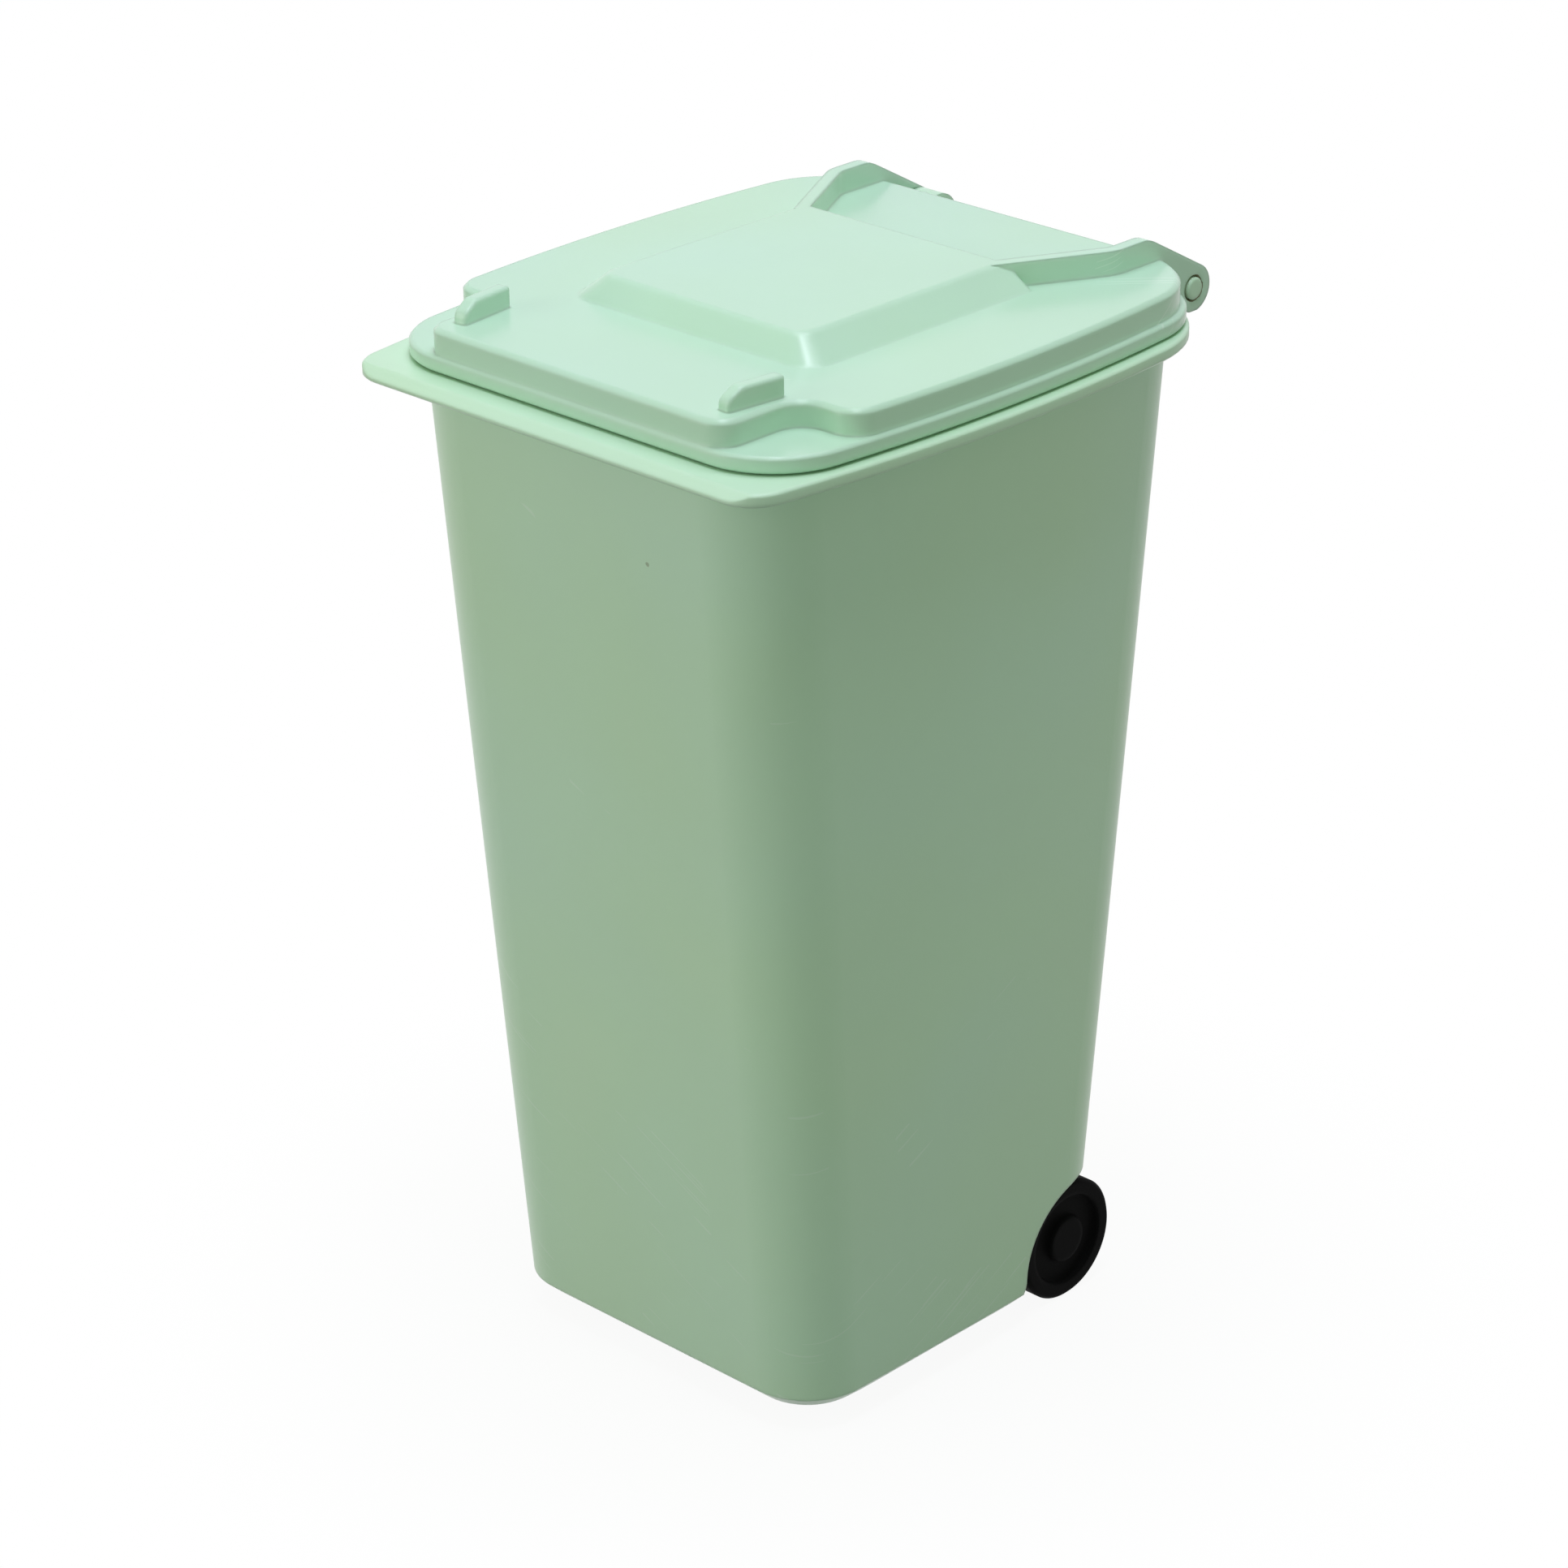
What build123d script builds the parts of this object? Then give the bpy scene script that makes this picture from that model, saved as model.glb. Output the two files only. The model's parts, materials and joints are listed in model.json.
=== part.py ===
from build123d import *
import math
import os

# Desktop trash can in the shape of a small wheeled bin: a tapered moulded body
# with a flat rim, a hinged lid on a plastic rod, and two wheels on a steel axle.
# Lengths are millimetres and angles degrees. X runs to the bin's right, the front
# faces -Y, +Z is up. Depths are given forwards and backwards from the bin's middle,
# where its sides are widest. The finished pieces are moved so that the whole part
# is centred.

# Standing height of the body above the table, on its front feet and its wheels
FOOT_HEIGHT = 3.4

# Body: outline at the base, and outline under the rim
BODY_HEIGHT = 143.8
BASE_HALF_WIDTH = 31.05
BASE_FRONT = 32.45
BASE_BACK = 29.75
BASE_CORNER = 9.8
BASE_BOW_RADIUS = 2000.0
MOUTH_HALF_WIDTH = 36.7
MOUTH_FRONT = 43.3
MOUTH_BACK = 43.0
MOUTH_CORNER = 12.0
SIDE_BOW_RADIUS = 290.0
BODY_WALL = 1.6
FLOOR_THICKNESS = 1.8
BASE_EDGE_CHAMFER = 1.9

# Shares of the body's height at which its outline is drawn
WALL_LEVELS = (0, 0.15, 0.4, 0.7, 0.96, 1)

# Rim: how far it stands out from the wall, and its slanted front strip
RIM_THICKNESS = 1.8
RIM_SIDE_REACH = 4.9
RIM_FRONT_REACH = 5.2
RIM_BACK_REACH = 2.6
RIM_FRONT_CORNER = 5.6
RIM_BACK_CORNER = 18.5
RIM_EDGE_CHAMFER = 0.3
RIM_STRIP_WIDTH = 1.6
RIM_STRIP_DROP = 1.2

# Wheel arch, cut across the whole back of the base
ARCH_RADIUS = 12.4
ARCH_BACK = 25.5
ARCH_ABOVE_BASE = 4.3
ARCH_LIP_ROUND = 4.0

# Front feet
FOOT_LENGTH = 10.0
FOOT_WIDTH = 4.5
FOOT_SPACING = 26.0
FOOT_FRONT = 17.5
FOOT_CHAMFER = 0.8

# Wheels and axle
WHEEL_RADIUS = 9.4
WHEEL_WIDTH = 6.4
WHEEL_BACK = 23.5
WHEEL_FACE_INSET = 1.2
WHEEL_HUB_RADIUS = 3.4
WHEEL_TYRE_DEPTH = 2.3
WHEEL_DISH_DEPTH = 1.0
WHEEL_DISH_SLOPE = 0.4
WHEEL_SHOULDER = 0.45
WHEEL_CAP = 1.4
AXLE_RADIUS = 1.5
AXLE_END_CHAMFER = 0.3
CHEEK_WIDTH = 3.0
CHEEK_RADIUS = 3.4

# Lid: flange, raised platform with S-shaped front notches, and raised panel. It rests
# a little open at the front, turned up by its tilt about the hinge.
LID_GAP = 0.1
LID_TILT = 0.1
LID_FLANGE_THICKNESS = 2.3
LID_HALF_WIDTH = 39.9
LID_FRONT = 43.95
LID_BACK = 45.1
LID_FRONT_CORNER = 12.5
LID_BACK_CORNER = 15.0
LID_WALL = 1.5
LID_EDGE_CHAMFER = 0.4
PLATFORM_HEIGHT = 3.65
PLATFORM_INSET = 0.9
PLATFORM_FRONT_INSET = 0.45
PLATFORM_EDGE_CHAMFER = 0.6
NOTCH_WIDTH = 11.1
TONGUE_LENGTH = 14.2
TONGUE_CORNER = 3.4
NOTCH_ROUND = 4.2
SHOULDER_ROUND = 4.0
PANEL_HEIGHT = 3.5
PANEL_HALF_WIDTH = 18.6
PANEL_FRONT = 19.4
PANEL_BACK = 20.5
PANEL_SIDE_SLOPE = 4.2
PANEL_FRONT_SLOPE = 2.7
PANEL_BACK_SLOPE = 0.8
PANEL_CORNER = 2.6
PANEL_FOOT_CORNER = 4.2
PANEL_EDGE_CHAMFER = 0.4

# Two pull ribs near the lid's front corners
RIB_EDGE_INSET = 1.7
RIB_WIDTH = 2.2
RIB_HEIGHT = 3.0
RIB_FRONT = 40.0
RIB_LENGTH = 9.4
RIB_TURN = 7.0
RIB_SLOPE = 2.4
RIB_NOSE_ROUND = 1.6
RIB_EDGE_ROUND = 0.45

# Hinge: rod, eyes at the ends of the lid's arms, knuckles on the body
HINGE_BACK = 50.6
ROD_RADIUS = 1.6
ROD_PROUD = 0.35
ROD_END_CHAMFER = 0.25
EYE_RADIUS = 3.45
EYE_MOUTH_CHAMFER = 0.35
ARM_X = 26.1
ARM_WIDTH = 2.0
ARM_BEND_BACK = 34.4
ARM_BEND_RADIUS = 5.0
ARM_SLOPE_ANGLE = 29.6
ARM_KNEE_ROUND = 5.0
KNUCKLE_RADIUS = 3.4
KNUCKLE_WIDTH = 4.4
WEB_DEPTH = 4.0

# Fits
RUNNING_CLEARANCE = 0.06
PRESS_INTERFERENCE = 0.02
HINGE_SIDE_GAP = 0.3
WHEEL_SIDE_GAP = 0.5

# Levels that follow from the sizes above
RIM_UNDERSIDE = FOOT_HEIGHT + BODY_HEIGHT
RIM_TOP = RIM_UNDERSIDE + RIM_THICKNESS
LID_BOTTOM = RIM_TOP + LID_GAP
FLANGE_TOP = LID_BOTTOM + LID_FLANGE_THICKNESS
PLATFORM_TOP = FLANGE_TOP + PLATFORM_HEIGHT
PANEL_TOP = PLATFORM_TOP + PANEL_HEIGHT
HINGE_Z = RIM_TOP
ARCH_Z = FOOT_HEIGHT + ARCH_ABOVE_BASE
WHEEL_OUTER_X = BASE_HALF_WIDTH - WHEEL_FACE_INSET
WHEEL_INNER_X = WHEEL_OUTER_X - WHEEL_WIDTH
LID_CENTRE_THICKNESS = LID_FLANGE_THICKNESS + PLATFORM_HEIGHT
PLATFORM_HALF_WIDTH = LID_HALF_WIDTH - PLATFORM_INSET
PLATFORM_FRONT = LID_FRONT - PLATFORM_FRONT_INSET
PLATFORM_BACK = LID_BACK - PLATFORM_INSET
TONGUE_HALF_WIDTH = PLATFORM_HALF_WIDTH - NOTCH_WIDTH
RIB_X = TONGUE_HALF_WIDTH - RIB_EDGE_INSET - RIB_WIDTH / 2
SPAN = 2 * (MOUTH_HALF_WIDTH + RIM_SIDE_REACH)

# Two places closer than this count as the same one
SAME = 0.01

# The rim's front edge and the back of the hinge eyes lie equally far from Y = 0
RIM_FRONT = MOUTH_FRONT + RIM_FRONT_REACH
CENTRING = Pos(0, (RIM_FRONT - HINGE_BACK - EYE_RADIUS) / 2, 0)


def side_x(half_width, bow_radius, y):
    """Half-width at depth y of a side that bows outwards on an arc, widest at y = 0."""
    return half_width - bow_radius + math.sqrt(bow_radius**2 - y**2)


def round_corners(face, x, y, radius):
    """Rounds the two corners of a face that lie at (x, y) and (-x, y)."""
    corners = face.vertices().filter_by(lambda v: abs(abs(v.X) - x) < SAME and abs(v.Y - y) < SAME)
    return fillet(corners, radius)


def bowed_outline(half_width, front, back, front_corner, back_corner, bow_radius):
    """Face with straight front and back, bowed sides and rounded corners."""
    front_x = side_x(half_width, bow_radius, front)
    back_x = side_x(half_width, bow_radius, back)
    edges = [
        Line((-front_x, -front), (front_x, -front)),
        ThreePointArc((front_x, -front), (half_width, 0), (back_x, back)),
        Line((back_x, back), (-back_x, back)),
        ThreePointArc((-back_x, back), (-half_width, 0), (-front_x, -front)),
    ]
    face = make_face(edges)
    face = round_corners(face, front_x, -front, front_corner)
    return round_corners(face, back_x, back, back_corner)


def at_height(sketch, z):
    """The sketch lifted to height z."""
    return Pos(0, 0, z) * sketch


def across(sketch_yz, x_from, x_to):
    """Solid between two x positions with a section drawn as (depth, height)."""
    return Pos(x_from, 0, 0) * extrude(Plane.YZ * sketch_yz, x_to - x_from)


def beside(sketch_yz, side, inner_x, outer_x):
    """Solid on the bin's right side (1) or left side (-1) between two distances from its middle."""
    x_from, x_to = sorted((side * inner_x, side * outer_x))
    return across(sketch_yz, x_from, x_to)


def x_cylinder(radius, y, z, x_from, x_to):
    """Round bar along X."""
    return across(Pos(y, z) * Circle(radius), x_from, x_to)


def wall_outline(share):
    """Body outline at a share of the wall's height, 0 at its base and 1 at its mouth."""
    half_width = BASE_HALF_WIDTH + (MOUTH_HALF_WIDTH - BASE_HALF_WIDTH) * share
    front = BASE_FRONT + (MOUTH_FRONT - BASE_FRONT) * share
    back = BASE_BACK + (MOUTH_BACK - BASE_BACK) * share
    corner = BASE_CORNER + (MOUTH_CORNER - BASE_CORNER) * share
    base_bow = BASE_HALF_WIDTH - side_x(BASE_HALF_WIDTH, BASE_BOW_RADIUS, BASE_FRONT)
    mouth_bow = MOUTH_HALF_WIDTH - side_x(MOUTH_HALF_WIDTH, SIDE_BOW_RADIUS, MOUTH_FRONT)
    bow = base_bow + (mouth_bow - base_bow) * share
    return bowed_outline(half_width, front, back, corner, corner, (front**2 + bow**2) / (2 * bow))


def make_wall_block(inset):
    """Tapered block inside the body's outline, its sides straight between a few levels."""
    sections = []
    for share in WALL_LEVELS:
        section = offset(wall_outline(share), -inset)
        sections.append(at_height(section, FOOT_HEIGHT + BODY_HEIGHT * share))
    return loft(sections, ruled=True)


def make_shell():
    """Tapered body wall and floor, open at the mouth, with its bottom edge broken."""
    outer = make_wall_block(0)
    outer = chamfer(outer.edges().group_by(Axis.Z)[0], BASE_EDGE_CHAMFER)
    inner = make_wall_block(BODY_WALL)
    floor = Pos(0, 0, FOOT_HEIGHT + FLOOR_THICKNESS / 2) * Box(SPAN, SPAN + MOUTH_BACK, FLOOR_THICKNESS)
    inner = inner - floor
    arch_roof = x_cylinder(ARCH_RADIUS + BODY_WALL, ARCH_BACK, ARCH_Z, -SPAN, SPAN)
    inner = inner - arch_roof
    rim = make_rim()
    mouth_hole = extrude(at_height(offset(wall_outline(1), -BODY_WALL), RIM_UNDERSIDE), RIM_THICKNESS)
    return outer + rim - inner - mouth_hole


def make_rim():
    """Flat rim plate with a slanted strip along its front edge."""
    outline = bowed_outline(
        MOUTH_HALF_WIDTH + RIM_SIDE_REACH,
        RIM_FRONT,
        MOUTH_BACK + RIM_BACK_REACH,
        RIM_FRONT_CORNER,
        RIM_BACK_CORNER,
        SIDE_BOW_RADIUS,
    )
    rim = extrude(at_height(outline, RIM_UNDERSIDE), RIM_THICKNESS)
    strip_section = Polygon(
        (-RIM_FRONT, RIM_TOP - RIM_STRIP_DROP),
        (-RIM_FRONT + RIM_STRIP_WIDTH, RIM_TOP),
        (-RIM_FRONT + RIM_STRIP_WIDTH, RIM_TOP + RIM_THICKNESS),
        (-RIM_FRONT - RIM_STRIP_WIDTH, RIM_TOP + RIM_THICKNESS),
        (-RIM_FRONT - RIM_STRIP_WIDTH, RIM_TOP - RIM_STRIP_DROP),
        align=None,
    )
    rim = rim - across(strip_section, -SPAN, SPAN)
    rim = chamfer(rim.edges().group_by(Axis.Z)[0], RIM_EDGE_CHAMFER)
    crease_y = -RIM_FRONT + RIM_STRIP_WIDTH
    top_edges = rim.edges().group_by(Axis.Z)[-1].filter_by(lambda e: e.center().Y > crease_y + SAME)
    return chamfer(top_edges, RIM_EDGE_CHAMFER)


def make_arch_cut():
    """Space of the wheel arch: a round tunnel whose front lip rounds into the base."""
    below = Pos(ARCH_BACK, FOOT_HEIGHT - ARCH_RADIUS / 2) * Rectangle(2 * ARCH_RADIUS + SPAN, ARCH_RADIUS)
    section = Pos(ARCH_BACK, ARCH_Z) * Circle(ARCH_RADIUS) + below
    lips = section.vertices().filter_by(lambda v: abs(v.Y - FOOT_HEIGHT) < SAME)
    lips = lips.filter_by(lambda v: abs(v.X - ARCH_BACK) < ARCH_RADIUS)
    return across(fillet(lips, ARCH_LIP_ROUND), -SPAN, SPAN)


def make_cheek(side):
    """Bearing cheek that hangs from the arch roof and holds the axle."""
    outer_x = WHEEL_INNER_X - WHEEL_SIDE_GAP
    inner_x = outer_x - CHEEK_WIDTH
    neck_top = ARCH_Z + ARCH_RADIUS + BODY_WALL
    neck = Pos(WHEEL_BACK, (WHEEL_RADIUS + neck_top) / 2) * Rectangle(
        2 * CHEEK_RADIUS, neck_top - WHEEL_RADIUS
    )
    roof_limit = Pos(ARCH_BACK, ARCH_Z) * Circle(ARCH_RADIUS + BODY_WALL / 2)
    section = Pos(WHEEL_BACK, WHEEL_RADIUS) * Circle(CHEEK_RADIUS) + (neck & roof_limit)
    section = section - Pos(WHEEL_BACK, WHEEL_RADIUS) * Circle(AXLE_RADIUS + RUNNING_CLEARANCE)
    return beside(section, side, inner_x, outer_x)


def make_foot(side):
    """Front foot: a low bar across the base, rounded at its ends."""
    bar = SlotOverall(FOOT_LENGTH, FOOT_WIDTH)
    foot = extrude(Pos(side * FOOT_SPACING / 2, -FOOT_FRONT, 0) * bar, FOOT_HEIGHT + FLOOR_THICKNESS / 2)
    return chamfer(foot.edges().group_by(Axis.Z)[0], FOOT_CHAMFER)


def make_knuckle(side):
    """Hinge knuckle on the body's back, with a web that runs to the wall under the rim."""
    outer_x = ARM_X - ARM_WIDTH / 2 - HINGE_SIDE_GAP
    inner_x = outer_x - KNUCKLE_WIDTH
    root_y = MOUTH_BACK - BODY_WALL / 2
    web = Polygon(
        (root_y, RIM_UNDERSIDE - WEB_DEPTH),
        (HINGE_BACK, HINGE_Z - KNUCKLE_RADIUS),
        (HINGE_BACK, RIM_TOP),
        (root_y, RIM_TOP),
        align=None,
    )
    section = web + Pos(HINGE_BACK, HINGE_Z) * Circle(KNUCKLE_RADIUS)
    section = section - Pos(HINGE_BACK, HINGE_Z) * Circle(ROD_RADIUS - PRESS_INTERFERENCE)
    return beside(section, side, inner_x, outer_x)


def make_bin_body():
    """One moulding: shell, rim, wheel arch, axle cheeks, feet and hinge knuckles."""
    body = make_shell() - make_arch_cut()
    for side in (-1, 1):
        body = body + make_cheek(side)
        body = body + make_foot(side)
        body = body + make_knuckle(side)
    return body


def platform_outline():
    """Platform with a narrower front tongue; each front corner has an S-shaped notch."""
    shoulder_y = -(PLATFORM_FRONT - TONGUE_LENGTH)
    shoulder_x = side_x(PLATFORM_HALF_WIDTH, SIDE_BOW_RADIUS, shoulder_y)
    back_x = side_x(PLATFORM_HALF_WIDTH, SIDE_BOW_RADIUS, PLATFORM_BACK)
    edges = [
        Line((-TONGUE_HALF_WIDTH, -PLATFORM_FRONT), (TONGUE_HALF_WIDTH, -PLATFORM_FRONT)),
        Line((TONGUE_HALF_WIDTH, -PLATFORM_FRONT), (TONGUE_HALF_WIDTH, shoulder_y)),
        Line((TONGUE_HALF_WIDTH, shoulder_y), (shoulder_x, shoulder_y)),
        ThreePointArc((shoulder_x, shoulder_y), (PLATFORM_HALF_WIDTH, 0), (back_x, PLATFORM_BACK)),
        Line((back_x, PLATFORM_BACK), (-back_x, PLATFORM_BACK)),
        ThreePointArc((-back_x, PLATFORM_BACK), (-PLATFORM_HALF_WIDTH, 0), (-shoulder_x, shoulder_y)),
        Line((-shoulder_x, shoulder_y), (-TONGUE_HALF_WIDTH, shoulder_y)),
        Line((-TONGUE_HALF_WIDTH, shoulder_y), (-TONGUE_HALF_WIDTH, -PLATFORM_FRONT)),
    ]
    face = make_face(edges)
    face = round_corners(face, TONGUE_HALF_WIDTH, -PLATFORM_FRONT, TONGUE_CORNER)
    room = (shoulder_x - TONGUE_HALF_WIDTH) / (NOTCH_ROUND + SHOULDER_ROUND + SAME)
    fit = min(1, room)
    face = round_corners(face, TONGUE_HALF_WIDTH, shoulder_y, NOTCH_ROUND * fit)
    face = round_corners(face, shoulder_x, shoulder_y, SHOULDER_ROUND * fit)
    return round_corners(face, back_x, PLATFORM_BACK, LID_BACK_CORNER - PLATFORM_INSET)


def panel_outline(half_width, front, back, corner):
    """Raised panel's outline, with its two front corners rounded."""
    depth = front + back
    face = Pos(0, back - depth / 2) * Rectangle(2 * half_width, depth)
    return round_corners(face, half_width, -front, corner)


def make_panel(inset, drop):
    """Sloped panel, or with an inset and a drop the hollow that lies under it."""
    top = panel_outline(
        PANEL_HALF_WIDTH - inset,
        PANEL_FRONT - inset,
        PANEL_BACK - inset,
        PANEL_CORNER - inset,
    )
    foot = panel_outline(
        PANEL_HALF_WIDTH + PANEL_SIDE_SLOPE - inset,
        PANEL_FRONT + PANEL_FRONT_SLOPE - inset,
        PANEL_BACK + PANEL_BACK_SLOPE - inset,
        PANEL_FOOT_CORNER - inset,
    )
    return loft([at_height(foot, PLATFORM_TOP - drop), at_height(top, PANEL_TOP - drop)])


def make_arm(side):
    """Splayed arm from the panel's back corner to the hinge eye, level and then sloping."""
    start = (side * (PANEL_HALF_WIDTH - ARM_WIDTH / 2), PANEL_BACK - ARM_WIDTH)
    bend = (side * ARM_X, ARM_BEND_BACK)
    end = (side * ARM_X, HINGE_BACK + EYE_RADIUS)
    path = FilletPolyline(start, bend, end, radius=ARM_BEND_RADIUS)
    plan = trace(path, line_width=ARM_WIDTH)
    rib = extrude(at_height(plan, LID_BOTTOM - EYE_RADIUS), PANEL_TOP - LID_BOTTOM + 2 * EYE_RADIUS)
    slope = math.radians(ARM_SLOPE_ANGLE)
    tangent_y = HINGE_BACK + EYE_RADIUS * math.sin(slope)
    tangent_z = HINGE_Z + EYE_RADIUS * math.cos(slope)
    ridge_end_y = tangent_y - (PANEL_TOP - tangent_z) / math.tan(slope)
    root_z = PLATFORM_TOP - LID_WALL / 2
    section = Polygon(
        (PLATFORM_BACK - LID_WALL / 2, root_z),
        (PLATFORM_BACK - LID_WALL / 2, LID_BOTTOM),
        (HINGE_BACK, LID_BOTTOM),
        (HINGE_BACK, HINGE_Z),
        (tangent_y, tangent_z),
        (ridge_end_y, PANEL_TOP),
        (0, PANEL_TOP),
        (0, root_z),
        align=None,
    )
    knee = section.vertices().filter_by(lambda v: abs(v.X - ridge_end_y) < SAME and v.Y > PANEL_TOP - SAME)
    section = fillet(knee, ARM_KNEE_ROUND) + Pos(HINGE_BACK, HINGE_Z) * Circle(EYE_RADIUS)
    return rib & across(section, -SPAN, SPAN)


def make_pull_rib(side):
    """Low rib along the lid's side, sloping at its nose and upright at its back."""
    base_z = PLATFORM_TOP - LID_WALL / 2
    top_z = PLATFORM_TOP + RIB_HEIGHT
    back_y = RIB_LENGTH / 2
    section = Polygon(
        (-back_y, base_z),
        (back_y, base_z),
        (back_y, top_z),
        (-back_y + RIB_SLOPE, top_z),
        (-back_y, PLATFORM_TOP + RIB_HEIGHT / 2),
        align=None,
    )
    nose = section.vertices().filter_by(lambda v: v.X < back_y - SAME and v.Y > base_z + SAME)
    section = fillet(nose, RIB_NOSE_ROUND)
    rib = across(section, -RIB_WIDTH / 2, RIB_WIDTH / 2)
    rib = fillet(rib.edges().filter_by(lambda e: e.center().Z > base_z + SAME), RIB_EDGE_ROUND)
    return Pos(side * RIB_X, back_y - RIB_FRONT, 0) * Rot(0, 0, -side * RIB_TURN) * rib


def make_lid():
    """One moulding: flange, hollow platform, panel, two pull ribs, two arms with eyes."""
    flange_outline = bowed_outline(
        LID_HALF_WIDTH, LID_FRONT, LID_BACK, LID_FRONT_CORNER, LID_BACK_CORNER, SIDE_BOW_RADIUS
    )
    flange = extrude(at_height(flange_outline, LID_BOTTOM), LID_FLANGE_THICKNESS)
    flange = chamfer(flange.edges().filter_by(Plane.XY), LID_EDGE_CHAMFER)
    outline = platform_outline()
    platform = extrude(at_height(outline, LID_BOTTOM), LID_CENTRE_THICKNESS)
    platform = chamfer(platform.edges().group_by(Axis.Z)[-1], PLATFORM_EDGE_CHAMFER)
    panel = make_panel(0, 0)
    panel = chamfer(panel.edges().group_by(Axis.Z)[-1], PANEL_EDGE_CHAMFER)
    lid = flange + platform + panel
    for side in (-1, 1):
        lid = lid + make_arm(side)
        lid = lid + make_pull_rib(side)
    hollow = extrude(at_height(offset(outline, -LID_WALL), LID_BOTTOM), LID_CENTRE_THICKNESS - LID_WALL)
    lid = lid - hollow - make_panel(LID_WALL, LID_WALL)
    bore_radius = ROD_RADIUS + RUNNING_CLEARANCE
    lid = lid - x_cylinder(bore_radius, HINGE_BACK, HINGE_Z, -SPAN, SPAN)
    outer_face_x = ARM_X + ARM_WIDTH / 2
    mouths = lid.edges().filter_by(GeomType.CIRCLE).filter_by(
        lambda e: abs(abs(e.center().X) - outer_face_x) < SAME and abs(e.radius - bore_radius) < SAME
    )
    lid = chamfer(mouths, EYE_MOUTH_CHAMFER)
    return Pos(0, HINGE_BACK, HINGE_Z) * Rot(-LID_TILT, 0, 0) * Pos(0, -HINGE_BACK, -HINGE_Z) * lid


def make_hinge_rod():
    """Plastic rod through both eyes and both knuckles."""
    end_x = ARM_X + ARM_WIDTH / 2 + ROD_PROUD
    rod = x_cylinder(ROD_RADIUS, HINGE_BACK, HINGE_Z, -end_x, end_x)
    return chamfer(rod.edges().filter_by(GeomType.CIRCLE), ROD_END_CHAMFER)


def make_wheel_axle():
    """Steel pin that carries both wheels and turns in the cheeks."""
    end_x = WHEEL_OUTER_X - WHEEL_CAP
    axle = x_cylinder(AXLE_RADIUS, WHEEL_BACK, WHEEL_RADIUS, -end_x, end_x)
    return chamfer(axle.edges().filter_by(GeomType.CIRCLE), AXLE_END_CHAMFER)


def make_wheel(side):
    """Dished wheel with a closed hub, turned from one half-section."""
    bore = AXLE_RADIUS - PRESS_INTERFERENCE
    rim_radius = WHEEL_RADIUS - WHEEL_TYRE_DEPTH
    inner_x = WHEEL_INNER_X
    outer_x = WHEEL_OUTER_X
    section = Polygon(
        (outer_x - WHEEL_CAP, 0),
        (outer_x, 0),
        (outer_x, WHEEL_HUB_RADIUS),
        (outer_x - WHEEL_DISH_DEPTH, WHEEL_HUB_RADIUS + WHEEL_DISH_SLOPE),
        (outer_x - WHEEL_DISH_DEPTH, rim_radius - WHEEL_DISH_SLOPE),
        (outer_x, rim_radius),
        (outer_x, WHEEL_RADIUS),
        (inner_x, WHEEL_RADIUS),
        (inner_x, bore),
        (outer_x - WHEEL_CAP, bore),
        align=None,
    )
    tread = section.vertices().filter_by(lambda v: v.Y > WHEEL_RADIUS - SAME)
    section = chamfer(tread, WHEEL_SHOULDER)
    wheel = Pos(0, WHEEL_BACK, WHEEL_RADIUS) * revolve(section, Axis.X)
    if side < 0:
        wheel = mirror(wheel, Plane.YZ)
    return wheel


nodes = {
    "bin_body": make_bin_body(),
    "lid": make_lid(),
    "hinge_rod": make_hinge_rod(),
    "wheel_axle": make_wheel_axle(),
    "wheel_left": make_wheel(-1),
    "wheel_right": make_wheel(1),
}
os.makedirs("parts", exist_ok=True)
for name, shape in nodes.items():
    export_step(CENTRING * shape, f"parts/{name}.step")
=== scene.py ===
import json
import math

import bpy
import numpy as np
from bpy.props import FloatProperty, FloatVectorProperty, PointerProperty
from mathutils import Matrix, Vector

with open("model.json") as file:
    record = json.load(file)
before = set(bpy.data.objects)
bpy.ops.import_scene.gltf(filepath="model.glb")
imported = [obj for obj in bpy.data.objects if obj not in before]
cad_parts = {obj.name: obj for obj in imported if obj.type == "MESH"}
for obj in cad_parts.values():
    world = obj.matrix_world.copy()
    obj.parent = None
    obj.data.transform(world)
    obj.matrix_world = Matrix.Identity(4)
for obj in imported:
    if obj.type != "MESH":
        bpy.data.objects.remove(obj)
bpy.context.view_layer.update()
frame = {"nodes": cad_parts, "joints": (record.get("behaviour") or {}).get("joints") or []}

bl_info = {
    "name": "Desktop trash can",
    "version": (1, 0, 0),
    "blender": (4, 5, 0),
    "location": "View3D > Sidebar > Trash Can",
    "description": "Finishes the small wheeled desktop bin and sets its studio",
    "category": "Object",
}

MM = 0.001
HINGE_AXIS = Vector(next(joint["pos_m"] for joint in frame["joints"] if joint["name"] == "lid_hinge"))
WHITE = (1.0, 1.0, 1.0, 1.0)

# Moulded plastic. A noise has its cells per metre and its levels of detail, here and below.
SHADE_NOISE = (38.0, 3.0)
HUE_NOISE = (24.0, 1.0)
GRAIN_NOISE = (2600.0, 2.0)
NOISE_MIDDLE = 0.5
HUE_UNTURNED = 0.5
POLISH_WANDER = 0.15
EDGE_SAMPLES = 6
GRAIN_HEIGHT = 0.05 * MM
PLASTIC_IOR = 1.49
INNER_LIGHT = 0.1
INNER_LIGHT_SPREAD = (0.8, 1.0, 0.7)

# Strength of the grain on each piece, from 0 to 1.
BODY_GRAIN = 0.25
LID_GRAIN = 0.15
ROD_GRAIN = 0.3
WHEEL_GRAIN = 0.4
STEEL_GRAIN = 0.2

LID_POLISH = 0.10
WHEEL_ROUGHNESS = 0.6
WHEEL_SHINE = 0.03
STEEL_ROUGHNESS = 0.32

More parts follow.
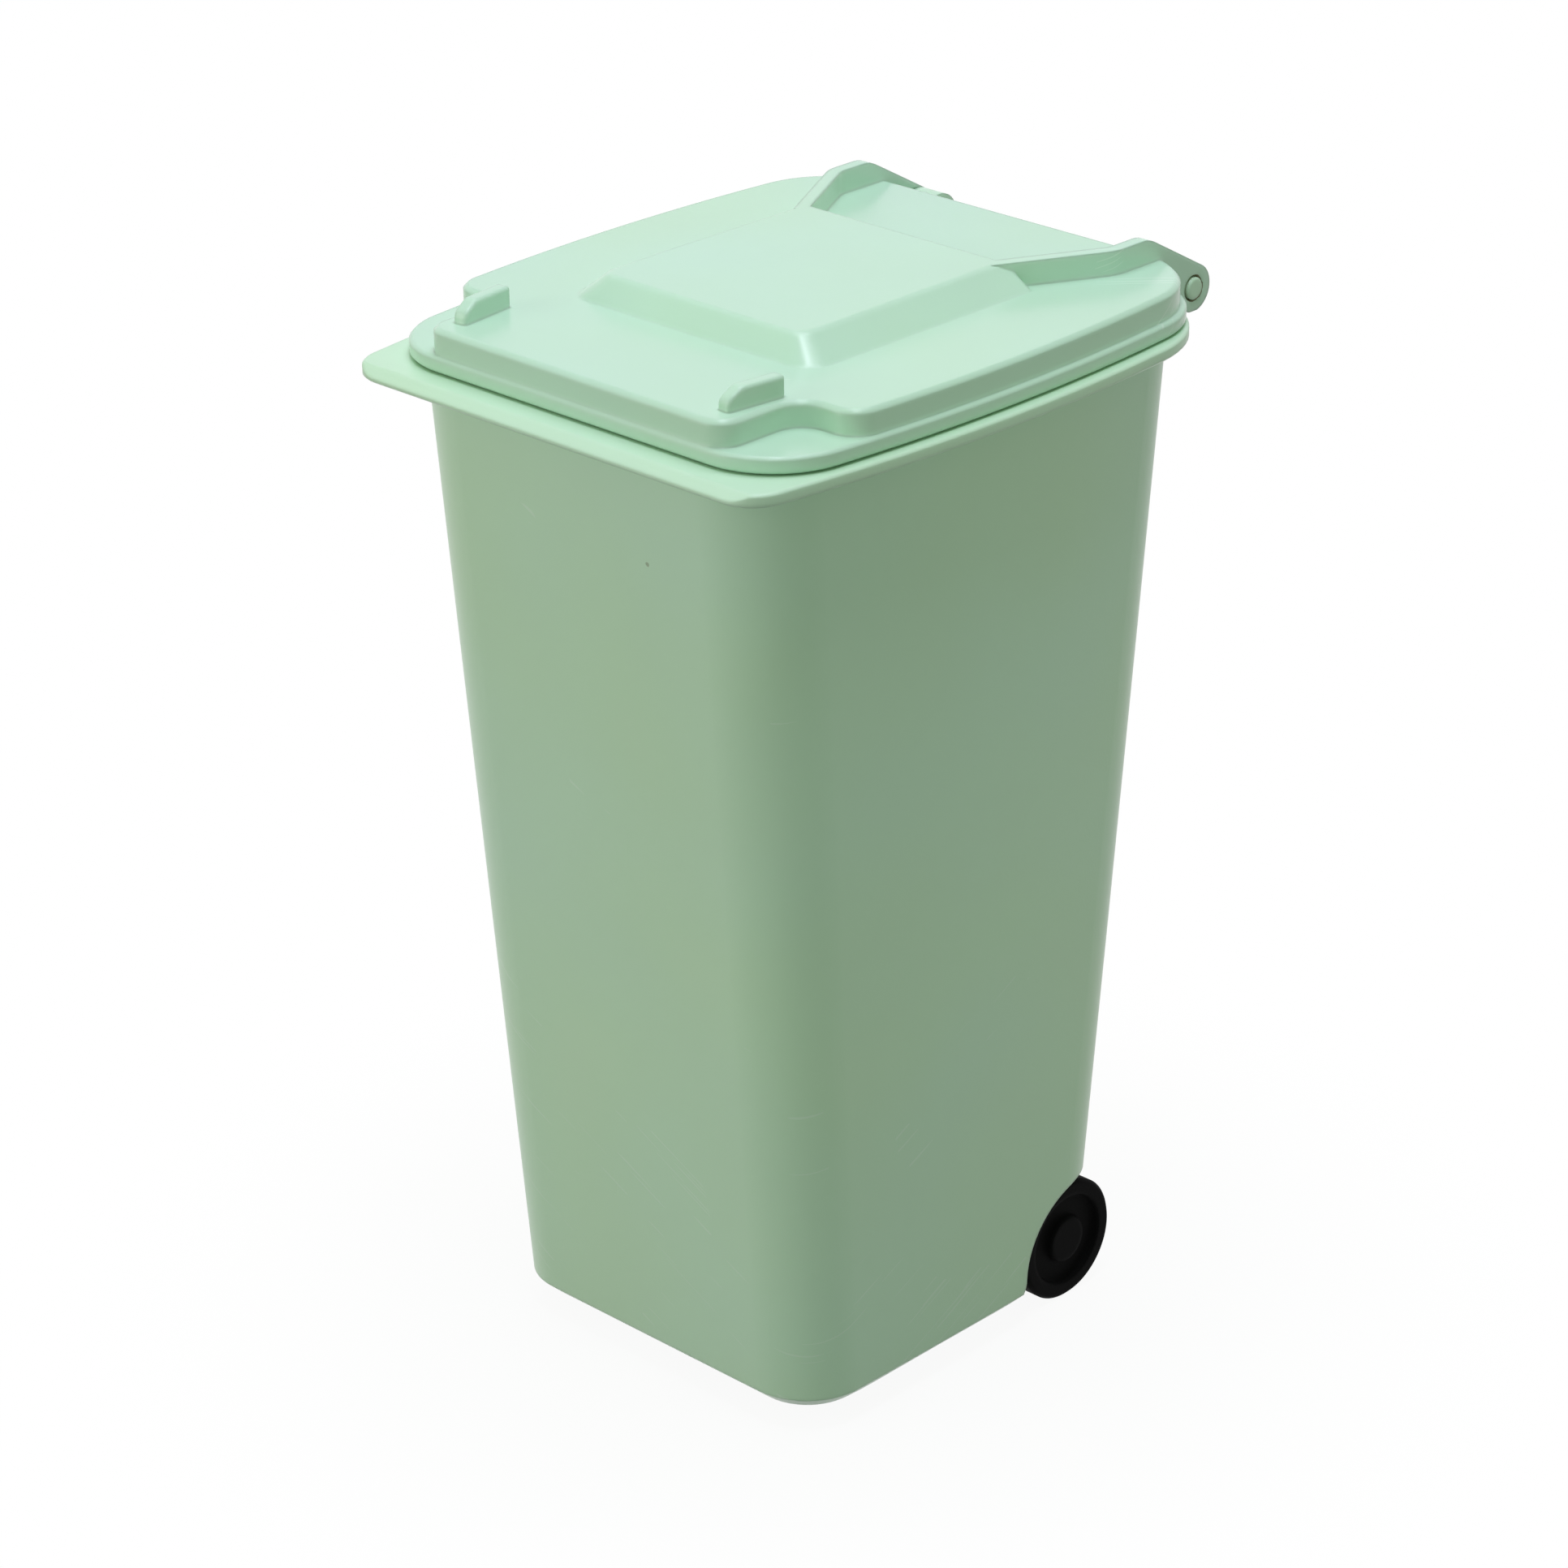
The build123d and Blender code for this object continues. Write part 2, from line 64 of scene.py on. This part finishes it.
# Dirt specks: one in some of the cells. Reach and edge are in widths of a cell.
SPECK_SCALE = 75.0
SPECK_RARITY = 0.82
SPECK_LEAST = 0.01
SPECK_MORE = 0.02
SPECK_EDGE = 0.05
SPECK_EDGE_NOISE = (1800.0, 2.0)

# Scratches: streaks where thin flat cells on a slant cross the surface, in patches that get fewer with
# each metre of height. Their noise is stretched to one cell of this size, so its scale is 1.
SCRATCH_SLANT = (math.radians(25.0), math.radians(30.0), 0.0)
SCRATCH_CELL = (14.0 * MM, 14.0 * MM, 0.4 * MM)
SCRATCH_NOISE = (1.0, 0.0)
SCRATCH_RARITY = 0.75
PATCH_NOISE = (46.0, 1.0)
PATCH_RARITY = 0.46
PATCH_RARITY_RISE = 1.6

# Painted shade: a dark ring in the dirt colour, in the gap between the hinge rod's end and the eye.
PAINTED_GAP_SHADE_RADIUS = 1.75 * MM
PAINTED_GAP_SHADE_WIDTH = 0.22 * MM
PAINTED_GAP_SHADE_NOISE = (900.0, 3.0)

SENSOR_WIDTH_MM = 36.0
FLOOR_CORNERS = 96
FLOOR_PALE = (0.98, 0.98, 0.98, 1.0)
FLOOR_ROUGHNESS = 0.9
FLOOR_SHINE = 0.1
FLOOR_FADE_START = 0.03
FLOOR_FADE_END = 0.12

# Place and width of each lamp, in metres.
TOP_LAMP = ((-0.02, 0.06, 0.75), 0.40)
GLINT_LAMP = ((0.14, -0.13, 0.75), 0.12)
FRONT_LAMP = ((-0.30, -0.64, 0.28), 0.40)
SIDE_LAMP = ((0.64, -0.05, 0.24), 0.40)


class BIN_PG_plastic(bpy.types.PropertyGroup):
    """Colours and finish of the mouldings."""

    mint: FloatVectorProperty(
        name="Mint", description="Colour of the mint plastic", subtype="COLOR", size=3,
        min=0, max=1, default=(0.60, 0.82, 0.615),
    )
    # The lid's colour is the body's mint made darker: painted shade for the lid's side faces.
    lid: FloatVectorProperty(
        name="Lid", description="Colour of the lid's mint plastic", subtype="COLOR", size=3,
        min=0, max=1, default=(0.555, 0.785, 0.615),
    )
    black: FloatVectorProperty(
        name="Black", description="Colour of the wheels", subtype="COLOR", size=3,
        min=0, max=1, default=(0.002, 0.002, 0.002),
    )
    steel: FloatVectorProperty(
        name="Steel", description="Colour of the axle", subtype="COLOR", size=3,
        min=0, max=1, default=(0.55, 0.56, 0.57),
    )
    # Dirt colour: used for the real dirt specks, and also for the painted shade ring in the gap at the
    # hinge.
    dirt: FloatVectorProperty(
        name="Dirt", description="Colour of specks and of grime at the hinge", subtype="COLOR", size=3,
        min=0, max=1, default=(0.16, 0.15, 0.06),
    )
    scratch: FloatVectorProperty(
        name="Scratch", description="Colour of fine scratches", subtype="COLOR", size=3,
        min=0, max=1, default=(0.75, 0.90, 0.78),
    )
    specks: FloatProperty(
        name="Specks", description="How strongly the dirt specks show", default=0.5, min=0, max=1,
        subtype="FACTOR",
    )
    scratches: FloatProperty(
        name="Scratches", description="How strongly the scratches show", default=0.45, min=0, max=1,
        subtype="FACTOR",
    )
    mottle: FloatProperty(
        name="Mottle", description="How much the plastic's shade wanders", default=0.06, min=0, max=1,
        subtype="FACTOR",
    )
    drift: FloatProperty(
        name="Hue drift", description="How far the plastic's hue wanders between green and teal",
        default=0.10, min=0, max=1, subtype="FACTOR",
    )
    roughness: FloatProperty(
        name="Roughness", description="Roughness of the satin mould finish", default=0.32, min=0, max=1,
        subtype="FACTOR",
    )
    edge_radius: FloatProperty(
        name="Edge radius", description="How far the mouldings' edges look rounded", default=0.9 * MM,
        min=0, unit="LENGTH",
    )
    depth: FloatProperty(
        name="Light depth", description="How deep light spreads in the plastic", default=0.4 * MM,
        min=0, unit="LENGTH",
    )


class BIN_PG_studio(bpy.types.PropertyGroup):
    """Camera, floor and light."""

    target: FloatVectorProperty(
        name="Target", description="Point that the camera looks at", subtype="XYZ", unit="LENGTH", size=3,
        default=(-1.59 * MM, -5.52 * MM, 82.34 * MM),
    )
    azimuth: FloatProperty(
        name="Azimuth", description="Camera's turn to the bin's right of its front", unit="ROTATION",
        default=math.radians(44.172),
    )
    elevation: FloatProperty(
        name="Elevation", description="Camera's height angle", unit="ROTATION",
        default=math.radians(24.887),
    )
    roll: FloatProperty(
        name="Roll", description="Camera's tilt about its line of sight", unit="ROTATION",
        default=math.radians(-0.699),
    )
    distance: FloatProperty(
        name="Distance", description="From the camera to its target", unit="LENGTH", default=685.18 * MM,
    )
    lens: FloatProperty(
        name="Lens", description="Focal length for a 36 mm wide sensor", unit="CAMERA", default=111.35,
    )
    floor_radius: FloatProperty(
        name="Floor", description="Radius of the pale floor", unit="LENGTH", default=1.6,
    )
    top_power: FloatProperty(
        name="Top light", description="Power of the lamp overhead", unit="POWER", default=2.1,
    )
    top_color: FloatVectorProperty(
        name="Top colour", description="Colour of the lamp overhead", subtype="COLOR", size=3,
        min=0, max=1, default=(0.83, 0.84, 1.0),
    )
    glint_power: FloatProperty(
        name="Glint light", description="Power of the small lamp that draws the highlights on edges",
        unit="POWER", default=0.85,
    )
    front_power: FloatProperty(
        name="Front light", description="Power of the lamp at the front left", unit="POWER", default=1.3,
    )
    front_color: FloatVectorProperty(
        name="Front colour", description="Colour of the lamp at the front left", subtype="COLOR", size=3,
        min=0, max=1, default=(1.0, 0.98, 0.93),
    )
    side_power: FloatProperty(
        name="Side light", description="Power of the lamp at the right", unit="POWER", default=0.16,
    )
    side_color: FloatVectorProperty(
        name="Side colour", description="Colour of the lamp at the right", subtype="COLOR", size=3,
        min=0, max=1, default=(0.85, 1.0, 0.80),
    )
    ambient: FloatProperty(
        name="Ambient", description="Strength of the light from all around", default=0.335, min=0,
    )
    ambient_color: FloatVectorProperty(
        name="Ambient colour", description="Colour of the light from all around", subtype="COLOR", size=3,
        min=0, max=1, default=(0.81, 1.0, 0.71),
    )
    floor_bounce: FloatProperty(
        name="Floor bounce", description="How much light the floor throws back", default=0.30, min=0, max=1,
        subtype="FACTOR",
    )
    floor_white: FloatProperty(
        name="Floor white", description="How white the floor looks at the bin, where its shadow falls",
        default=0.93, min=0, max=1, subtype="FACTOR",
    )


def plastic():
    """Settings of the mouldings."""
    return bpy.context.scene.bin_plastic


def studio():
    """Settings of the camera, the floor and the light."""
    return bpy.context.scene.bin_studio


def put(tree, value, slot):
    """Fills an input: a socket is linked to it, and a plain value is set on it."""
    if isinstance(value, bpy.types.NodeSocket):
        tree.links.new(value, slot)
    else:
        slot.default_value = value


def fill(tree, node, **values):
    """Fills the inputs of a node by their names, where _ stands for a space; gives the node."""
    for name, value in values.items():
        put(tree, value, node.inputs[name.replace("_", " ")])
    return node


def calc(tree, operation, *values):
    """Output of a Math node on numbers and sockets."""
    node = tree.nodes.new("ShaderNodeMath")
    node.operation = operation
    for slot, value in zip(node.inputs, values):
        put(tree, value, slot)
    return node.outputs[0]


def noise(tree, place, scale, detail):
    """Noise, from 0 to 1, at a place."""
    node = fill(tree, tree.nodes.new("ShaderNodeTexNoise"), Vector=place, Scale=scale, Detail=detail)
    return node.outputs["Fac"]


def opaque(color):
    """Colour for a socket, which has a fourth number."""
    return (*color, 1.0)


def mixed(tree, mask, color, other):
    """Colour that turns into the other one where the mask is 1."""
    node = tree.nodes.new("ShaderNodeMix")
    node.data_type = "RGBA"
    fill(tree, node, Factor=mask, A=color, B=other)
    return node.outputs["Result"]


def mixed_shader(tree, mask, shader, other):
    """Shader that turns into the other one where the mask is 1."""
    node = fill(tree, tree.nodes.new("ShaderNodeMixShader"), Fac=mask)
    put(tree, shader, node.inputs[1])
    put(tree, other, node.inputs[2])
    return node.outputs[0]


def object_place(tree):
    """Place on the object, in metres."""
    return tree.nodes.new("ShaderNodeTexCoord").outputs["Object"]


def split_place(tree, place):
    """X, Y and Z of a place."""
    node = fill(tree, tree.nodes.new("ShaderNodeSeparateXYZ"), Vector=place)
    return node.outputs


def new_material(name):
    """A material with a Principled BSDF; gives the material, its tree and the shader."""
    material = bpy.data.materials.new(name)
    material.use_nodes = True
    tree = material.node_tree
    return material, tree, tree.nodes["Principled BSDF"]


def new_group(name, inputs, outputs):
    """Empty shader node group with named sockets; each is a name and a kind."""
    group = bpy.data.node_groups.new(name, "ShaderNodeTree")
    for in_out, sockets in (("INPUT", inputs), ("OUTPUT", outputs)):
        for socket_name, kind in sockets:
            group.interface.new_socket(socket_name, in_out=in_out, socket_type="NodeSocket" + kind)
    return group, group.nodes.new("NodeGroupInput").outputs, group.nodes.new("NodeGroupOutput").inputs


def plastic_group():
    """Group: shade and hue that wander a little over the surface, a fine mould grain and soft edges."""
    name = "Moulded plastic"
    if name in bpy.data.node_groups:
        return bpy.data.node_groups[name]
    group, given, result = new_group(
        name,
        [("Color", "Color"), ("Mottle", "Float"), ("Roughness", "Float"), ("Grain", "Float"),
         ("Edge Radius", "Float"), ("Drift", "Float")],
        [("Color", "Color"), ("Roughness", "Float"), ("Normal", "Vector")],
    )
    place = object_place(group)
    clouds = calc(group, "SUBTRACT", noise(group, place, *SHADE_NOISE), NOISE_MIDDLE)
    shade = group.nodes.new("ShaderNodeVectorMath")
    shade.operation = "SCALE"
    put(group, given["Color"], shade.inputs[0])
    put(group, calc(group, "MULTIPLY_ADD", clouds, given["Mottle"], 1.0), shade.inputs["Scale"])
    wander = calc(group, "SUBTRACT", noise(group, place, *HUE_NOISE), NOISE_MIDDLE)
    hue = calc(group, "MULTIPLY_ADD", wander, given["Drift"], HUE_UNTURNED)
    turned = fill(group, group.nodes.new("ShaderNodeHueSaturation"), Hue=hue, Color=shade.outputs[0])
    put(group, turned.outputs["Color"], result["Color"])
    put(group, calc(group, "MULTIPLY_ADD", clouds, POLISH_WANDER, given["Roughness"]), result["Roughness"])
    rounded = fill(group, group.nodes.new("ShaderNodeBevel"), Radius=given["Edge Radius"])
    rounded.samples = EDGE_SAMPLES
    bump = fill(
        group, group.nodes.new("ShaderNodeBump"),
        Distance=GRAIN_HEIGHT, Strength=given["Grain"], Height=noise(group, place, *GRAIN_NOISE),
        Normal=rounded.outputs["Normal"],
    )
    put(group, bump.outputs["Normal"], result["Normal"])
    return group


def speck_mask(group, place):
    """1 on a few small ragged dots: one in each Voronoi cell whose colour is red enough."""
    cells = fill(group, group.nodes.new("ShaderNodeTexVoronoi"), Vector=place, Scale=SPECK_SCALE)
    chance = group.nodes.new("ShaderNodeSeparateColor")
    put(group, cells.outputs["Color"], chance.inputs[0])
    chosen = calc(group, "GREATER_THAN", chance.outputs["Red"], SPECK_RARITY)
    reach = calc(group, "MULTIPLY_ADD", chance.outputs["Green"], SPECK_MORE, SPECK_LEAST)
    edge = noise(group, place, *SPECK_EDGE_NOISE)
    ragged = calc(group, "MULTIPLY_ADD", edge, SPECK_EDGE, -SPECK_EDGE / 2)
    near = calc(group, "LESS_THAN", calc(group, "ADD", cells.outputs["Distance"], ragged), reach)
    return calc(group, "MULTIPLY", chosen, near)


def scratch_mask(group, place):
    """1 on fine slanting streaks, in patches that lie mostly near the base."""
    stretch = group.nodes.new("ShaderNodeMapping")
    stretch.vector_type = "TEXTURE"
    fill(group, stretch, Vector=place, Rotation=SCRATCH_SLANT, Scale=SCRATCH_CELL)
    lines = calc(group, "GREATER_THAN", noise(group, stretch.outputs[0], *SCRATCH_NOISE), SCRATCH_RARITY)
    height = split_place(group, place)["Z"]
    rarity = calc(group, "MULTIPLY_ADD", height, PATCH_RARITY_RISE, PATCH_RARITY)
    patches = calc(group, "GREATER_THAN", noise(group, place, *PATCH_NOISE), rarity)
    return calc(group, "MULTIPLY", lines, patches)


def marks_group():
    """Group: mask of dirt specks and mask of scratches."""
    name = "Handling marks"
    if name in bpy.data.node_groups:
        return bpy.data.node_groups[name]
    sockets = [("Specks", "Float"), ("Scratches", "Float")]
    group, given, result = new_group(name, sockets, sockets)
    place = object_place(group)
    for mark, mask in (("Specks", speck_mask), ("Scratches", scratch_mask)):
        put(group, calc(group, "MULTIPLY", mask(group, place), given[mark]), result[mark])
    return group


def painted_gap_shade_mask(tree):
    """Painted shade: 1 in a ragged ring round the hinge's axis, in the gap between the rod's end and the
    eye; the noise is 0.5 on average, so its width is doubled.
    """
    place = object_place(tree)
    split = split_place(tree, place)
    back = calc(tree, "SUBTRACT", split["Y"], HINGE_AXIS.y)
    up = calc(tree, "SUBTRACT", split["Z"], HINGE_AXIS.z)
    away = calc(tree, "SQRT", calc(tree, "MULTIPLY_ADD", back, back, calc(tree, "MULTIPLY", up, up)))
    ring = calc(tree, "ABSOLUTE", calc(tree, "SUBTRACT", away, PAINTED_GAP_SHADE_RADIUS))
    ragged = calc(tree, "MULTIPLY", noise(tree, place, *PAINTED_GAP_SHADE_NOISE), 2 * PAINTED_GAP_SHADE_WIDTH)
    return calc(tree, "LESS_THAN", ring, ragged)


def moulded_material(name, color, roughness, grain):
    """Material that goes through the plastic group; gives it, its shader and its colour socket."""
    material, tree, shader = new_material(name)
    group = tree.nodes.new("ShaderNodeGroup")
    group.node_tree = plastic_group()
    fill(
        tree, group, Color=opaque(color), Mottle=plastic().mottle, Roughness=roughness, Grain=grain,
        Edge_Radius=plastic().edge_radius, Drift=plastic().drift,
    )
    fill(
        tree, shader, Base_Color=group.outputs["Color"], Roughness=group.outputs["Roughness"],
        Normal=group.outputs["Normal"], IOR=PLASTIC_IOR,
    )
    return material, shader, group.outputs["Color"]


def mint_material(name, color, roughness, grain, painted_gap_shade=False):
    """Mint plastic in which light spreads a little, with specks and scratches, and a ring of painted shade
    where asked.
    """
    material, shader, color = moulded_material(name, color, roughness, grain)
    tree = material.node_tree
    marks = tree.nodes.new("ShaderNodeGroup")
    marks.node_tree = marks_group()
    fill(tree, marks, Specks=plastic().specks, Scratches=plastic().scratches)
    # The dirt colour serves the real dirt specks and also the painted shade ring at the hinge.
    dirt = opaque(plastic().dirt)
    color = mixed(tree, marks.outputs["Scratches"], color, opaque(plastic().scratch))
    color = mixed(tree, marks.outputs["Specks"], color, dirt)
    # Painted shade: the dirt colour darkens the ring in the gap round the hinge rod's end.
    if painted_gap_shade:
        color = mixed(tree, painted_gap_shade_mask(tree), color, dirt)
    fill(
        tree, shader, Base_Color=color, Subsurface_Weight=INNER_LIGHT,
        Subsurface_Radius=INNER_LIGHT_SPREAD, Subsurface_Scale=plastic().depth,
    )
    return material


def finish_node(node, material):
    """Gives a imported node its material."""
    materials = frame["nodes"][node].data.materials
    materials.clear()
    materials.append(material)


class BIN_OT_body(bpy.types.Operator):
    """Finishes the bin's body in mint plastic."""

    bl_idname = "trash_can.body"
    bl_label = "Body"

    def execute(self, context):
        settings = plastic()
        mint = mint_material("Mint plastic body", settings.mint, settings.roughness, BODY_GRAIN)
        finish_node("bin_body", mint)
        return {"FINISHED"}


class BIN_OT_lid(bpy.types.Operator):
    """Finishes the lid in the mint plastic painted darker as shade, with a ring of painted shade in the
    eyes.
    """

    bl_idname = "trash_can.lid"
    bl_label = "Lid"

    def execute(self, context):
        settings = plastic()
        roughness = settings.roughness - LID_POLISH
        finish_node("lid", mint_material("Mint plastic lid painted darker as shade", settings.lid, roughness, LID_GRAIN, painted_gap_shade=True))
        return {"FINISHED"}


class BIN_OT_rod(bpy.types.Operator):
    """Finishes the hinge rod in mint plastic."""

    bl_idname = "trash_can.rod"
    bl_label = "Hinge rod"

    def execute(self, context):
        settings = plastic()
        mint = mint_material("Mint plastic rod", settings.mint, settings.roughness, ROD_GRAIN)
        finish_node("hinge_rod", mint)
        return {"FINISHED"}


class BIN_OT_wheels(bpy.types.Operator):
    """Finishes the wheels in black plastic and the axle in steel."""

    bl_idname = "trash_can.wheels"
    bl_label = "Wheels and axle"

    def execute(self, context):
        black, shader, _ = moulded_material("Black plastic", plastic().black, WHEEL_ROUGHNESS, WHEEL_GRAIN)
        shader.inputs["Specular IOR Level"].default_value = WHEEL_SHINE
        finish_node("wheel_left", black)
        finish_node("wheel_right", black)
        steel, shader, _ = moulded_material("Axle steel", plastic().steel, STEEL_ROUGHNESS, STEEL_GRAIN)
        shader.inputs["Metallic"].default_value = 1.0
        finish_node("wheel_axle", steel)
        return {"FINISHED"}


def add_object(name, data):
    """Object of the studio, in the scene."""
    added = bpy.data.objects.new(name, data)
    bpy.context.scene.collection.objects.link(added)
    return added


def camera_matrix():
    """Camera's place, worked out from azimuth, elevation, roll, distance and target."""
    settings = studio()
    azimuth, elevation = settings.azimuth, settings.elevation
    back = Vector((
        math.sin(azimuth) * math.cos(elevation),
        -math.cos(azimuth) * math.cos(elevation),
        math.sin(elevation),
    ))
    level = Vector((math.cos(azimuth), math.sin(azimuth), 0.0))
    upright = back.cross(level)
    right = math.cos(settings.roll) * level + math.sin(settings.roll) * upright
    up = back.cross(right)
    matrix = Matrix.Translation(Vector(settings.target) + settings.distance * back)
    for row in range(3):
        matrix[row][0], matrix[row][1], matrix[row][2] = right[row], up[row], back[row]
    return matrix


def add_camera():
    """Camera at the photograph's viewing angle."""
    camera = bpy.data.cameras.new("Camera")
    camera.sensor_width = SENSOR_WIDTH_MM
    camera.lens = studio().lens
    bpy.context.scene.camera = add_object("Camera", camera)
    bpy.context.scene.camera.matrix_world = camera_matrix()


def add_lamp(name, place_and_width, power, color):
    """Square soft lamp that looks at the camera's target."""
    place, width = place_and_width
    lamp = bpy.data.lights.new(name, "AREA")
    lamp.shape = "SQUARE"
    lamp.size = width
    lamp.energy = power
    lamp.color = color
    aim = (Vector(studio().target) - Vector(place)).to_track_quat("-Z", "Y")
    add_object(name, lamp).matrix_world = Matrix.Translation(place) @ aim.to_matrix().to_4x4()


def seen_directly(tree):
    """1 where the camera, a mirror ray or a glass ray looks, and 0 for soft light."""
    path = tree.nodes.new("ShaderNodeLightPath").outputs
    mirrored = calc(tree, "MAXIMUM", path["Is Camera Ray"], path["Is Glossy Ray"])
    return calc(tree, "MAXIMUM", mirrored, path["Is Transmission Ray"])


def light_world():
    """World that lights softly from all around and looks white."""
    world = bpy.data.worlds.new("Studio")
    bpy.context.scene.world = world
    world.use_nodes = True
    tree = world.node_tree
    tree.nodes.clear()
    glow = fill(
        tree, tree.nodes.new("ShaderNodeBackground"),
        Color=opaque(studio().ambient_color), Strength=studio().ambient,
    )
    white = fill(tree, tree.nodes.new("ShaderNodeBackground"), Color=WHITE, Strength=1.0)
    surface = mixed_shader(tree, seen_directly(tree), glow.outputs[0], white.outputs[0])
    fill(tree, tree.nodes.new("ShaderNodeOutputWorld"), Surface=surface)


def floor_material():
    """Pale matt floor that keeps the shadow and turns into the white background further out."""
    material, tree, shader = new_material("Pale floor")
    dim = opaque([studio().floor_bounce] * 3)
    seen = tree.nodes.new("ShaderNodeLightPath").outputs["Is Camera Ray"]
    fill(
        tree, shader, Base_Color=mixed(tree, seen, dim, FLOOR_PALE),
        Roughness=FLOOR_ROUGHNESS, Specular_IOR_Level=FLOOR_SHINE,
    )
    away = tree.nodes.new("ShaderNodeVectorMath")
    away.operation = "LENGTH"
    put(tree, object_place(tree), away.inputs[0])
    fade = tree.nodes.new("ShaderNodeMapRange")
    fade.interpolation_type = "SMOOTHSTEP"
    fill(
        tree, fade, Value=away.outputs["Value"], From_Min=FLOOR_FADE_START, From_Max=FLOOR_FADE_END,
        To_Min=studio().floor_white,
    )
    whiter = calc(tree, "MULTIPLY", fade.outputs["Result"], seen_directly(tree))
    white = fill(tree, tree.nodes.new("ShaderNodeEmission"), Strength=1.0)
    surface = mixed_shader(tree, whiter, shader.outputs[0], white.outputs[0])
    fill(tree, tree.nodes["Material Output"], Surface=surface)
    return material


def add_floor():
    """Round floor: one flat face whose corners lie at one radius, at equal shares of a full turn."""
    turn = np.linspace(0, 2 * math.pi, FLOOR_CORNERS, endpoint=False)
    corners = studio().floor_radius * np.stack([np.cos(turn), np.sin(turn), np.zeros_like(turn)], axis=1)
    mesh = bpy.data.meshes.new("floor")
    mesh.from_pydata(corners.tolist(), [], [range(FLOOR_CORNERS)])
    mesh.materials.append(floor_material())
    floor = add_object("floor", mesh)


class BIN_OT_stage(bpy.types.Operator):
    """Sets the camera, the pale floor, the lamps and the white world."""

    bl_idname = "trash_can.stage"
    bl_label = "Studio"

    def execute(self, context):
        settings = studio()
        context.scene.view_settings.view_transform = "Standard"
        add_camera()
        add_floor()
        add_lamp("Top lamp", TOP_LAMP, settings.top_power, settings.top_color)
        add_lamp("Glint lamp", GLINT_LAMP, settings.glint_power, settings.top_color)
        add_lamp("Front lamp", FRONT_LAMP, settings.front_power, settings.front_color)
        add_lamp("Side lamp", SIDE_LAMP, settings.side_power, settings.side_color)
        light_world()
        return {"FINISHED"}


class BIN_PT_panel(bpy.types.Panel):
    """Lists the bin's pieces, its studio and their settings."""

    bl_idname = "BIN_PT_panel"
    bl_label = "Trash can"
    bl_space_type = "VIEW_3D"
    bl_region_type = "UI"
    bl_category = "Trash Can"

    def draw(self, context):
        for operator in OPERATORS:
            self.layout.operator(operator.bl_idname)
        for group in (plastic(), studio()):
            for name in group.__annotations__:
                self.layout.prop(group, name)


OPERATORS = (BIN_OT_stage, BIN_OT_body, BIN_OT_lid, BIN_OT_rod, BIN_OT_wheels)
CLASSES = (BIN_PG_plastic, BIN_PG_studio, *OPERATORS, BIN_PT_panel)


def register():
    for cls in CLASSES:
        bpy.utils.register_class(cls)
    bpy.types.Scene.bin_plastic = PointerProperty(type=BIN_PG_plastic)
    bpy.types.Scene.bin_studio = PointerProperty(type=BIN_PG_studio)


def unregister():
    del bpy.types.Scene.bin_studio
    del bpy.types.Scene.bin_plastic
    for cls in reversed(CLASSES):
        bpy.utils.unregister_class(cls)


def main():
    """Registers the add-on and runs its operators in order."""
    register()
    for operator in OPERATORS:
        group, name = operator.bl_idname.split(".")
        getattr(getattr(bpy.ops, group), name)()


if __name__ == "__main__":
    main()
